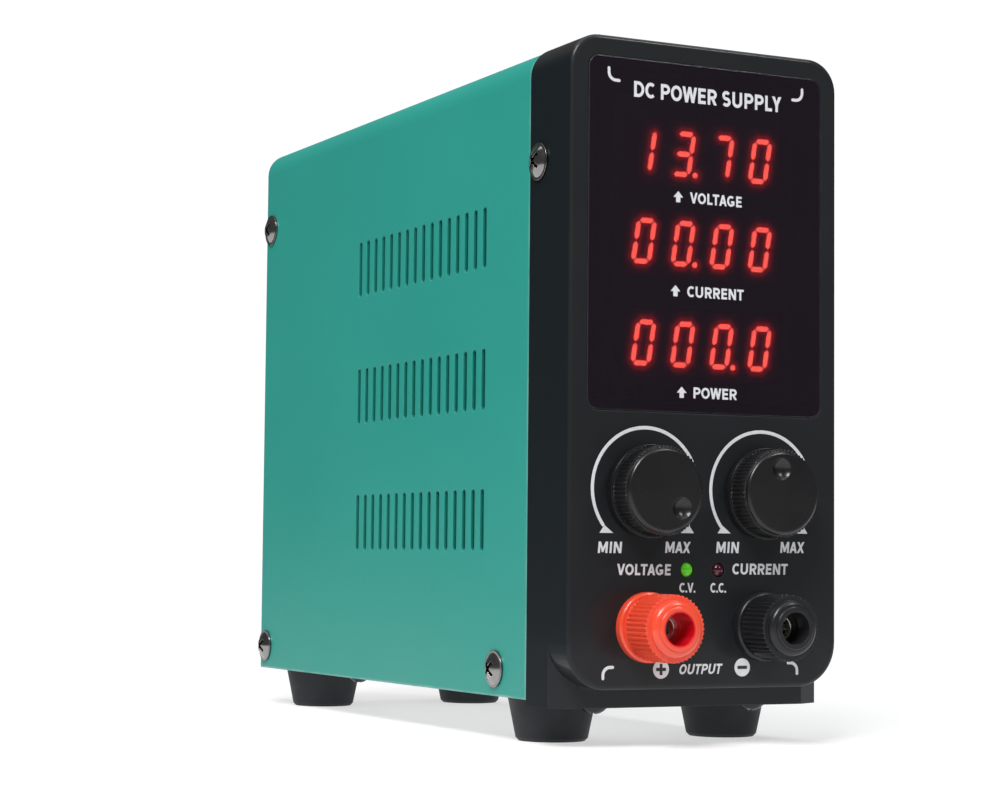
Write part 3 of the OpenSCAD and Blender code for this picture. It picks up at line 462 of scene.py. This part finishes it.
def paint_nodes():
    """Gives every CAD node its material."""
    finishes = {
        cover_paint(): ["cover"],
        bezel_abs(): ["front_bezel"],
        smoked_acrylic(): ["display_window"],
        zinc_sheet(): ["chassis_tray", "front_frame"],
        surface(
            "rear_paint", (0.016, 0.017, 0.019), 0.5, patch=0.08, grain=0.014, edge=0.25, worn=2.2
        ).material: ["rear_panel"],
        plastic("display_grey", (0.018, 0.012, 0.014), 0.6): [
            "voltage_display", "current_display", "power_display"
        ],
        segment_red(): ["lit_segments"],
        board_green(): ["control_board", "main_board"],
        brushed("pot_steel", (0.52, 0.52, 0.54), 0.32, "x"): ["voltage_pot", "current_pot"],
        brushed("nickel", (0.68, 0.66, 0.63), 0.18, "y"): [
            "pot_nuts", "voltage_shaft", "current_shaft", "positive_post_stud", "negative_post_stud",
            "positive_clamp_washer", "negative_clamp_washer", "post_nuts", "inlet_pins",
        ],
        plastic(
            "knob_black", (0.0085, 0.0085, 0.0095), 0.27, grain=0.003, edge=0.30, worn=2.0,
            Specular_IOR_Level=0.50,
        ): ["voltage_knob", "current_knob"],
        lens("led_green", LAMPS["C.V."], (0.42, 1.0, 0.012), (0.05, 0.28, 0.004), 0.85): ["cv_led"],
        lens("led_red", LAMPS["C.C."], (0.15, 0.010, 0.022), (0.045, 0.004, 0.010), 0.25): ["cc_led"],
        terminal_red(): ["positive_post_base", "positive_post_cap"],
        plastic(
            "terminal_black", (0.0125, 0.0130, 0.0150), 0.34, edge=0.30, worn=1.8, Coat_Weight=0.08,
            Specular_IOR_Level=0.35,
        ): ["negative_post_base", "negative_post_cap"],
        plastic("fibre_black", (0.02, 0.02, 0.02), 0.7): ["post_insulators"],
        brushed("tinned_copper", (0.72, 0.66, 0.52), 0.3, "z"): ["post_lugs", "board_standoffs"],
        surface(
            "foot_rubber", (0.0085, 0.0105, 0.0150), 0.62, patch=0.12, patch_size=8, grain=0.02,
            grain_size=0.4, edge=0.5, worn=1.8,
        ).material: ["foot_front_left", "foot_front_right", "foot_rear_left", "foot_rear_right"],
        screw_head_metal(): ["cover_screws"],
        brushed("screw_black_zinc", (0.06, 0.06, 0.065), 0.25, "z"): ["small_screws"],
        brushed("screw_nickel", (0.62, 0.61, 0.59), 0.17, "z"): [
            "foot_screws", "fan_screws", "fan_guard",
        ],
        surface(
            "ferrite", (0.035, 0.036, 0.040), 0.6, patch=0.2, patch_size=3, grain=0.03, worn=1.6
        ).material: ["transformer_core"],
        surface(
            "winding_tape", (0.62, 0.42, 0.05), 0.3, patch=0.12, patch_size=5, grain=0.03,
            grain_size=1.2, stretch=(0.1, 0.1, 3.0), worn=1.1,
        ).material: ["transformer_winding"],
        can_sleeve(): ["input_capacitors", "output_capacitors"],
        wound("copper_input", (0.50, 0.19, 0.07), 34, 0.25, middle("input_choke"), 0.8): ["input_choke"],
        wound("copper_output", (0.50, 0.19, 0.07), 30, 0.25, middle("output_choke"), 0.8): ["output_choke"],
        brushed("heatsink_alloy", (0.66, 0.67, 0.69), 0.36, "y"): ["heatsinks"],
        plastic("package_black", (0.02, 0.02, 0.022), 0.5): ["power_transistors"],
        plastic("fan_black", (0.012, 0.012, 0.014), 0.42): ["fan_frame", "fan_rotor"],
        plastic("socket_black", (0.012, 0.012, 0.013), 0.38): [
            "mains_inlet", "rocker_frame", "selector_frame"
        ],
        plastic("rocker_red", (0.55, 0.018, 0.012), 0.28, patch=0.04, worn=1.15): [
            "power_rocker", "selector_slider"
        ],
        banded_wire(): ["internal_wiring"],
    }
    for material, names in finishes.items():
        for name in names:
            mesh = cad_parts[name].data
            mesh.materials.clear()
            mesh.materials.append(material)
    painted = {n for names in finishes.values() for n in names}
    assert painted == set(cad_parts), painted ^ set(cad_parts)


# ---------- printed markings ----------

INK_DEPTH = 0.05 * MM
INK_PROUD = 0.02 * MM
INK_LAYER = 0.001 * MM
INK_LAYERS = 8
HALF_STROKE = 0.103  # of a letter one unit tall
WORD_GAP = 0.34
PRINT_RISE = 0.0095  # how far the lower print climbs for each step to the right
ROCKER_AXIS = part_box("rear_panel")[1].y - 1.5 * MM
ROCKER_TIP = math.radians(10)  # how far the rocker rests tipped


def bend(x, z, across, up, start, stop, steps=14):
    """Points round an oval. Angles are anticlockwise from the right, in degrees."""
    found = []
    for i in range(steps + 1):
        a = math.radians(start + (stop - start) * i / steps)
        found.append((x + across * math.cos(a), z + up * math.sin(a)))
    return found


def letters():
    """Plain capitals one unit tall: (width, space before, space after, strokes)."""
    a, b = HALF_STROKE, 1 - HALF_STROKE
    tall = b - 0.5
    stem = [(a, a), (a, b)]
    bowl = [stem, [(a, b), (0.37, b)], [(a, 0.45), (0.37, 0.45)]]
    bowl += [bend(0.37, (b + 0.45) / 2, 0.25, (b - 0.45) / 2, 90, -90)]
    return {
        "A": (0.80, 0, 0, [[(0.10, 0), (0.40, 1)], [(0.70, 0), (0.40, 1)], [(0.26, 0.30), (0.54, 0.30)]]),
        "C": (0.74, 0.05, 0.03, [bend(0.42, 0.5, 0.325, tall, 48, 312, 24)]),
        "D": (0.78, 0.10, 0.05, [
            stem, [(a, b), (0.32, b)], [(a, a), (0.32, a)], bend(0.32, 0.5, 0.365, tall, 90, -90, 20)
        ]),
        "E": (0.60, 0.10, 0.06, [stem, [(a, b), (0.50, b)], [(a, 0.5), (0.46, 0.5)], [(a, a), (0.50, a)]]),
        "G": (0.80, 0.05, 0.08, [
            bend(0.42, 0.5, 0.325, tall, 48, 318, 24),
            [(0.69, 0.22), (0.69, 0.42)], [(0.52, 0.42), (0.69, 0.42)],
        ]),
        "I": (0.19, 0.11, 0.11, [stem]),
        "L": (0.56, 0.10, 0, [stem, [(a, a), (0.46, a)]]),
        "M": (0.94, 0.10, 0.10, [
            stem, [(0.12, 1), (0.47, 0.20)], [(0.82, 1), (0.47, 0.20)], [(0.845, a), (0.845, b)]
        ]),
        "N": (0.78, 0.10, 0.10, [stem, [(0.12, 1), (0.66, 0)], [(0.685, a), (0.685, b)]]),
        "O": (0.86, 0.05, 0.05, [bend(0.43, 0.5, 0.335, tall, 0, 360, 32)]),
        "P": (0.715, 0.10, 0.03, bowl),
        "R": (0.74, 0.10, 0.03, bowl + [[(0.36, 0.45), (0.62, 0)]]),
        "S": (0.68, 0.05, 0.05, [
            bend(0.34, 0.70, 0.225, 0.205, 32, 250) + bend(0.34, 0.30, 0.245, 0.205, 70, -148)
        ]),
        "T": (0.70, 0.02, 0.02, [[(a, b), (0.605, b)], [(0.35, a), (0.35, b)]]),
        "U": (0.78, 0.10, 0.10, [
            [(a, 0.38), (a, b)], [(0.685, 0.38), (0.685, b)], bend(0.39, 0.38, 0.295, 0.285, 180, 360, 20)
        ]),
        "V": (0.80, 0, 0, [[(0.10, 1), (0.40, 0)], [(0.70, 1), (0.40, 0)]]),
        "W": (1.14, 0, 0, [
            [(0.10, 1), (0.32, 0)], [(0.57, 1), (0.32, 0)], [(0.57, 1), (0.82, 0)], [(1.04, 1), (0.82, 0)]
        ]),
        "X": (0.78, 0.02, 0.02, [[(0.11, 0), (0.67, 1)], [(0.67, 0), (0.11, 1)]]),
        "Y": (0.76, 0, 0, [[(0.11, 1), (0.38, 0.44)], [(0.65, 1), (0.38, 0.44)], [(0.38, a), (0.38, 0.44)]]),
        ".": (0.20, 0.05, 0.06, [[(a, a), (a + 0.01, a)]]),
        "0": (0.72, 0.06, 0.06, [bend(0.36, 0.5, 0.265, tall, 0, 360, 32)]),
        "2": (0.68, 0.06, 0.06, [
            bend(0.33, 0.66, 0.235, 0.245, 165, -30), [(0.12, a), (0.57, a)], [(0.17, 0.12), (0.53, 0.53)]
        ]),
        "3": (0.68, 0.06, 0.06, [
            bend(0.32, 0.70, 0.225, 0.205, 150, -85), bend(0.32, 0.30, 0.245, 0.205, 85, -150)
        ]),
    }


LETTERS = letters()


def piece(name, mesh, body, materials):
    obj = bpy.data.objects.new(name, mesh)
    bpy.context.scene.collection.objects.link(obj)
    for material in materials:
        mesh.materials.append(material)
    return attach(obj, body)


class Print:
    """Flat closed shapes of ink, drawn in x and z on a plane facing -y, all joined in one mesh."""

    def __init__(self, y=None):
        self.bm = bmesh.new()
        self.y = (face_y if y is None else y) - INK_PROUD
        self.drawn = 0

    def outline(self, points):
        """A closed prism over a simple outline of (x, z) points. Neighbours that overlap share no plane."""
        self.drawn += 1
        y = self.y + INK_LAYER * (self.drawn % INK_LAYERS)
        ring = [self.bm.verts.new((x, y, z)) for x, z in points]
        lid = self.bm.faces.new(ring)
        self.bm.normal_update()
        if lid.normal.y > 0:
            lid.normal_flip()
        grown = bmesh.ops.extrude_face_region(self.bm, geom=[lid], use_keep_orig=True)
        back = [v for v in grown["geom"] if isinstance(v, bmesh.types.BMVert)]
        bmesh.ops.translate(self.bm, verts=back, vec=(0, INK_DEPTH, 0))

    def stroke(self, points, width):
        """A line along points, with round ends."""
        half = width / 2
        edges = ribbon(points, half)
        left, right = edges[: len(points)], edges[len(points):]
        first, last = points[1] - points[0], points[-1] - points[-2]
        end = half_round(points[-1], math.atan2(last.y, last.x), half)
        start = half_round(points[0], math.atan2(-first.y, -first.x), half)
        self.outline(left + end + right + start)

    def disc(self, centre, radius, steps=48):
        turn = 2 * math.pi / steps
        self.outline(
            [
                (centre[0] + radius * math.cos(i * turn), centre[1] + radius * math.sin(i * turn))
                for i in range(steps)
            ]
        )

    def bar(self, start, end, half, band):
        """A straight ribbon of a letter. A slanting end runs on, and is cut level at the band's edges."""
        ahead = (end - start).normalized()
        slanting = abs(ahead.x * ahead.y) > 0.01
        side = Vector((-ahead.y, ahead.x)) * half
        at_edge = [slanting and min(abs(p.y - edge) for edge in band) < 1e-9 for p in (start, end)]
        start = start - ahead * half * (4 if at_edge[0] else 1)
        end = end + ahead * half * (4 if at_edge[1] else 1)
        return cut_level([start + side, end + side, end - side, start - side], band)

    def text(self, words, centre, height, width, lean=0.0):
        """Capitals of a given height and overall width, centred on (x, z)."""
        shapes, along, last = [], 0.0, None
        for letter in words:
            if letter == " ":
                along += WORD_GAP
                continue
            wide, left, right, strokes = LETTERS[letter]
            along += left if last is not None else 0
            for points in strokes:
                points = [Vector((along + x, z)) for x, z in points]
                if len(points) == 2:
                    shapes.append(self.bar(*points, HALF_STROKE, (0.0, 1.0)))
                else:
                    shapes.append(ribbon(points, HALF_STROKE))
            along += wide + right
            last = right
        along -= last
        stretch = (width / height - lean) / along
        for shape in shapes:
            placed = []
            for p in shape:
                x, z = (p.x - along / 2) * stretch, p.y - 0.5
                placed.append((centre[0] + (x + lean * z) * height, centre[1] + z * height))
            self.outline(placed)

    def finish(self, name, body, material, place=None):
        """Joins the shapes into one piece, moved by place if it is given."""
        if place is not None:
            self.bm.transform(place)
        bmesh.ops.remove_doubles(self.bm, verts=self.bm.verts, dist=1e-7)
        bmesh.ops.recalc_face_normals(self.bm, faces=self.bm.faces)
        mesh = bpy.data.meshes.new(name)
        self.bm.to_mesh(mesh)
        self.bm.free()
        return piece(name, mesh, body, [material])


def ribbon(points, half):
    """The two edges of a line along points: the left one forwards, then the right one backwards."""
    left, right = [], []
    for i, point in enumerate(points):
        ahead = points[min(i + 1, len(points) - 1)] - points[max(i - 1, 0)]
        side = Vector((-ahead.y, ahead.x)).normalized() * half
        left.append(point + side)
        right.append(point - side)
    return left + right[::-1]


def cut_level(shape, band):
    """The part of a convex shape between the band's two heights."""
    for height, sign in ((band[0], 1), (band[1], -1)):
        kept = []
        for a, b in zip(shape, shape[1:] + shape[:1]):
            inside_a, inside_b = sign * (a.y - height), sign * (b.y - height)
            if inside_a >= 0:
                kept.append(a)
            if inside_a * inside_b < 0:
                kept.append(a.lerp(b, inside_a / (inside_a - inside_b)))
        shape = kept
    return shape


def half_round(centre, heading, radius, steps=8):
    """Points of a half circle about centre, from the left of heading round to its right."""
    return [
        centre
        + radius
        * Vector(
            (
                math.cos(heading + math.pi / 2 - math.pi * i / steps),
                math.sin(heading + math.pi / 2 - math.pi * i / steps),
            )
        )
        for i in range(1, steps)
    ]


def arc(centre, radius, start, stop, steps):
    """Points round centre. Angles are clockwise from the top, in degrees."""
    found = []
    for i in range(steps + 1):
        a = math.radians(start + (stop - start) * i / steps)
        found.append(centre + radius * Vector((math.sin(a), math.cos(a))))
    return found


def lifted(x, z):
    """The print on the lower face is turned a little: it rises slowly to the right."""
    return z + PRINT_RISE * (x + 25 * MM)


def corner_mark(sheet, x, z, side, up, reach=3.0 * MM):
    """A short quarter turn with straight ends. side and up say which way its corner points."""
    bend_r, width = 2.0 * MM, 0.80 * MM
    centre = Vector((x - side * bend_r, z - up * bend_r))
    points = [Vector((x, z - up * reach))]
    for i in range(9):
        a = math.radians(90 * i / 8)
        points.append(centre + bend_r * Vector((side * math.cos(a), up * math.sin(a))))
    points.append(Vector((x - side * reach, z)))
    sheet.stroke(points, width)


def knob_scale(sheet, centre):
    """The arc round a knob, a triangle at each end, and MIN and MAX under them."""
    x, z = centre.x, centre.z
    middle_of_arc, arc_r, arc_end = Vector((x - 0.5 * MM, z + 0.7 * MM)), 15.55 * MM, 127
    sheet.stroke(arc(middle_of_arc, arc_r, -arc_end, arc_end, 72), 0.90 * MM)
    for side, word, wide in ((-1, "MIN", 7.0), (1, "MAX", 7.6)):
        foot, tip = z - 10.7 * MM, z - 8.7 * MM
        corners = [(9.9, foot), (13.9, foot), (12.5, tip)]
        sheet.outline([(x + side * across * MM, lifted(x + side * 12 * MM, up)) for across, up in corners])
        word_x = x + lamp_mid + side * 10.0 * MM
        sheet.text(word, (word_x, lifted(word_x, z - 14.35 * MM)), 2.9 * MM, wide * MM, lean=0.08)


def arrow_up(sheet, x, z, height):
    """A short arrow with a wide head, its foot at z."""
    head, neck = height * 0.50, height * 0.22
    brow = z + height * 0.45
    sheet.outline(
        [
            (x - neck, z), (x + neck, z), (x + neck, brow), (x + head, brow),
            (x, z + height), (x - head, brow), (x - neck, brow),
        ]
    )


def face_prints():
    """White and black ink on the lower part of the face. All of it is a little left of the middle."""
    white, black = Print(), Print(face_y - INK_PROUD)
    for knob, word, wide in (("voltage", "VOLTAGE", 15.9), ("current", "CURRENT", 17.2)):
        knob_scale(white, KNOBS[knob])
        word_x = KNOBS[knob].x + lamp_mid
        word_at = (word_x, lifted(word_x, LAMPS["C.V."].z - 0.1 * MM))
        white.text(word, word_at, 2.85 * MM, wide * MM, lean=0.05)
    for word, lamp in LAMPS.items():
        white.text(word, (lamp.x, lamp.z - 4.6 * MM), 2.5 * MM, 4.7 * MM)
    base_x = lamp_mid - 0.15 * MM
    base_z = middle("positive_post_base").z - 10.8 * MM
    output_at = (base_x - 0.4 * MM, lifted(base_x, base_z - 0.15 * MM))
    white.text("OUTPUT", output_at, 2.6 * MM, 13.2 * MM, lean=0.22)
    for side in (-1, 1):
        x = base_x + side * 12.2 * MM
        z = lifted(x, base_z)
        white.disc((x, z), 2.35 * MM)
        bar, thick = 1.45 * MM, 0.42 * MM
        black.outline(rectangle((x, z), bar, thick))
        if side < 0:
            black.outline(rectangle((x, z + (bar + thick) / 2), thick, (bar - thick) / 2))
            black.outline(rectangle((x, z - (bar + thick) / 2), thick, (bar - thick) / 2))
        mark_x = base_x + side * 29.15 * MM
        corner_mark(white, mark_x, lifted(mark_x, base_z + 0.85 * MM), side, 1, reach=2.8 * MM)
    white.finish("face_print_white", "supply", white_ink)
    black.finish("face_print_black", "supply", black_ink)


def rectangle(centre, half_wide, half_tall):
    x, z = centre
    return [
        (x - half_wide, z - half_tall), (x + half_wide, z - half_tall),
        (x + half_wide, z + half_tall), (x - half_wide, z + half_tall),
    ]


def window_prints():
    """White ink on the window: a generic heading, corner marks and the label under each readout."""
    sheet = Print()
    top = window_top
    for side in (-1, 1):
        corner_mark(sheet, side * 29.5 * MM, top - 6.2 * MM, side, -1)
    sheet.text("DC POWER SUPPLY", (0.4 * MM, top - 7.9 * MM), 4.1 * MM, 45 * MM)
    labels = (
        ("voltage_display", "VOLTAGE", 15.8, 11.65),
        ("current_display", "CURRENT", 17.2, 12.65),
        ("power_display", "POWER", 13.2, 12.55),
    )
    tall, arrow, gap = 2.85 * MM, 2.9 * MM, 2.1 * MM
    for node, word, wide, drop in labels:
        z = middle(node).z - drop * MM
        whole = arrow + gap + wide * MM
        arrow_up(sheet, 0.2 * MM - whole / 2 + arrow / 2, z - arrow / 2, arrow)
        sheet.text(word, (0.2 * MM + whole / 2 - wide * MM / 2, z), tall, wide * MM)
    sheet.finish("window_print", "supply", white_ink)


# ---------- painted display glow ---


CLOSE_GLOW, CLOSE_REACH = 0.42, 1.00  # strength, and reach in millimetres
WIDE_GLOW, WIDE_REACH = 0.07, 1.6


def painted_display_glow(node):
    """A thin red film over one readout, carrying painted light: it glows close round the lit segments behind
    it.
    """
    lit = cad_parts["lit_segments"].data
    tree = BVHTree.FromPolygons(
        [v.co for v in lit.vertices], [tuple(p.vertices) for p in lit.polygons]
    )
    low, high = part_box(node)
    step, y = 0.20 * MM, low.y - 0.12 * MM
    columns, rows = round((high.x - low.x) / step), round((high.z - low.z) / step)
    points, glow = [], []
    for j in range(rows + 1):
        for i in range(columns + 1):
            p = Vector(
                (low.x + (high.x - low.x) * i / columns, y, low.z + (high.z - low.z) * j / rows)
            )
            apart = tree.find_nearest(p)[3] / MM
            points.append(p)
            close = CLOSE_GLOW * math.exp(-((apart / CLOSE_REACH) ** 2))
            glow.append(close + WIDE_GLOW * math.exp(-apart / WIDE_REACH))
    wide = columns + 1
    quads = [
        (j * wide + i, j * wide + i + 1, (j + 1) * wide + i + 1, (j + 1) * wide + i)
        for j in range(rows)
        for i in range(columns)
    ]
    mesh = bpy.data.meshes.new(node + "_film")
    mesh.from_pydata(points, [], quads)
    mesh.attributes.new("glow", "FLOAT", "POINT").data.foreach_set("value", glow)
    film = piece(node + "_film", mesh, "supply", [painted_glow_material])
    thick = film.modifiers.new("thickness", "SOLIDIFY")
    thick.thickness, thick.offset = 0.05 * MM, -1
    return film


# ---------- rear markings ----------


def rear_marks():
    """The bar and ring on the power rocker's two pads, and the mains range on the selector's slider."""
    low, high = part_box("power_rocker")
    pad_x, pad_z = (low.x + high.x) / 2, (low.z + high.z) / 2
    for name, side in (("rocker_on", 1), ("rocker_off", -1)):
        # Each pad slopes outwards to its end, and the rocker rests tipped
        slope = ROCKER_TIP - side * math.atan(1 / 8)
        pad = Matrix.Translation((pad_x, ROCKER_AXIS, pad_z)) @ Matrix.Rotation(ROCKER_TIP, 4, "X")
        pad = pad @ Matrix.Translation((0, 2.5 * MM, side * 4 * MM))
        pad = pad @ Matrix.Rotation(slope - ROCKER_TIP, 4, "X") @ Matrix.Rotation(math.pi, 4, "Z")
        sheet = Print(0.0)
        if side > 0:
            sheet.outline(rectangle((0, 0), 0.35 * MM, 1.7 * MM))
        else:
            sheet.stroke(arc(Vector((0, 0)), 1.5 * MM, 0, 358, 40), 0.55 * MM)
        sheet.finish(name, "power_rocker", white_ink, pad)
    low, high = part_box("selector_slider")
    face = Matrix.Translation(((low.x + high.x) / 2, high.y, (low.z + high.z) / 2))
    sheet = Print(0.0)
    sheet.text("230", (0, 0), 2.0 * MM, 4.8 * MM)
    sheet.finish("selector_range", "voltage_selector", white_ink, face @ Matrix.Rotation(math.pi, 4, "Z"))


# ---------- stage, light and camera ----------


def floor():
    """A pale floor: grey in the shade under the supply, and evenly white from 16 cm outside it."""
    bm = bmesh.new()
    bmesh.ops.create_circle(bm, cap_ends=True, radius=0.75, segments=96)
    mesh = bpy.data.meshes.new("floor")
    bm.to_mesh(mesh)
    bm.free()
    obj = bpy.data.objects.new("floor", mesh)
    bpy.context.scene.collection.objects.link(obj)
    g = Graph("floor_white")
    across, along = g.parts(g.place)[:2]
    outside_x = g.sum("MAXIMUM", g.sum("SUBTRACT", g.sum("ABSOLUTE", across), cad_high.x), 0.0)
    outside_y = g.sum("MAXIMUM", g.sum("SUBTRACT", g.sum("ABSOLUTE", along), cad_high.y), 0.0)
    apart = g.add("ShaderNodeCombineXYZ", {0: outside_x, 1: outside_y}).outputs[0]
    out = g.add("ShaderNodeVectorMath", {0: apart}, operation="LENGTH").outputs["Value"]
    far = g.span(out, -10 * MM, 160 * MM)
    near_tone = g.mix(g.noise(200), (0.51, 0.51, 0.51), (0.55, 0.55, 0.55))
    g.set(g.shader, "Base Color", g.mix(far, near_tone, (0.0, 0.0, 0.0)))
    g.set(g.shader, "Roughness", 0.6)
    g.set(g.shader, "Specular IOR Level", 0.0)
    g.set(g.shader, "Emission Color", (1, 1, 1, 1))
    g.set(g.shader, "Emission Strength", g.span(far, 0, 1, 0.54, 1.02))
    mesh.materials.append(g.material)


def softbox(name, place, target, size, power):
    light = bpy.data.lights.new(name, "AREA")
    light.shape = "RECTANGLE"
    light.size, light.size_y = size
    light.energy = power
    holder = bpy.data.objects.new(name, light)
    bpy.context.scene.collection.objects.link(holder)
    holder.location = place
    holder.rotation_euler = (Vector(target) - Vector(place)).to_track_quat("-Z", "Y").to_euler()


def surroundings(backdrop, fill):
    """A white backdrop, and a dimmer even light from all round."""
    world = bpy.data.worlds.new("studio")
    bpy.context.scene.world = world
    world.use_nodes = True
    nodes, links = world.node_tree.nodes, world.node_tree.links
    seen = nodes.new("ShaderNodeLightPath").outputs["Is Camera Ray"]
    strength = nodes.new("ShaderNodeMapRange")
    strength.inputs[3].default_value, strength.inputs[4].default_value = fill, backdrop
    links.new(seen, strength.inputs[0])
    sky = nodes["Background"]
    sky.inputs["Color"].default_value = (1, 1, 1, 1)
    links.new(strength.outputs[0], sky.inputs["Strength"])


def lights():
    """A large key high on the left, a small bright one on the right, and a wide panel overhead."""
    surroundings(backdrop=1.02, fill=0.10)
    centre = (0, -0.05, 0.09)
    softbox("key", (-0.67, -0.67, 1.08), centre, (0.55, 0.55), 17.5)
    softbox("spark", (0.72, -1.05, 1.11), centre, (0.30, 0.30), 6)
    softbox("overhead", (0.0, 0.15, 1.4), (0, 0.15, 0), (1.8, 1.6), 12)


def camera():
    """A long lens near the level of the feet, turned about 27 degrees to the left of the front."""
    data = bpy.data.cameras.new("camera")
    data.sensor_width, data.lens = 36.0, 86.15
    data.clip_start, data.clip_end = 0.05, 30
    holder = bpy.data.objects.new("camera", data)
    bpy.context.scene.collection.objects.link(holder)
    turn = Matrix.Rotation(math.radians(-26.691), 3, "Z")
    tilt = Matrix.Rotation(math.radians(3.639), 3, "X")
    roll = Matrix.Rotation(math.radians(-0.539), 3, "Y")
    level = turn @ tilt @ roll
    right, ahead, up = level.col
    facing = Matrix((right, up, -ahead)).transposed()
    place = Vector((-325.70, -628.03, 48.17)) * MM
    holder.matrix_world = Matrix.Translation(place) @ facing.to_4x4()
    bpy.context.scene.camera = holder


bpy.context.scene.view_settings.view_transform = "Standard"
white_ink = ink("white_ink", (0.72, 0.73, 0.75))
black_ink = ink("black_ink", (0.015, 0.015, 0.018))
painted_glow_material = painted_glow_film()
camera()
floor()
lights()
paint_nodes()
face_prints()
window_prints()
for readout in ("voltage_display", "current_display", "power_display"):
    painted_display_glow(readout)
rear_marks()
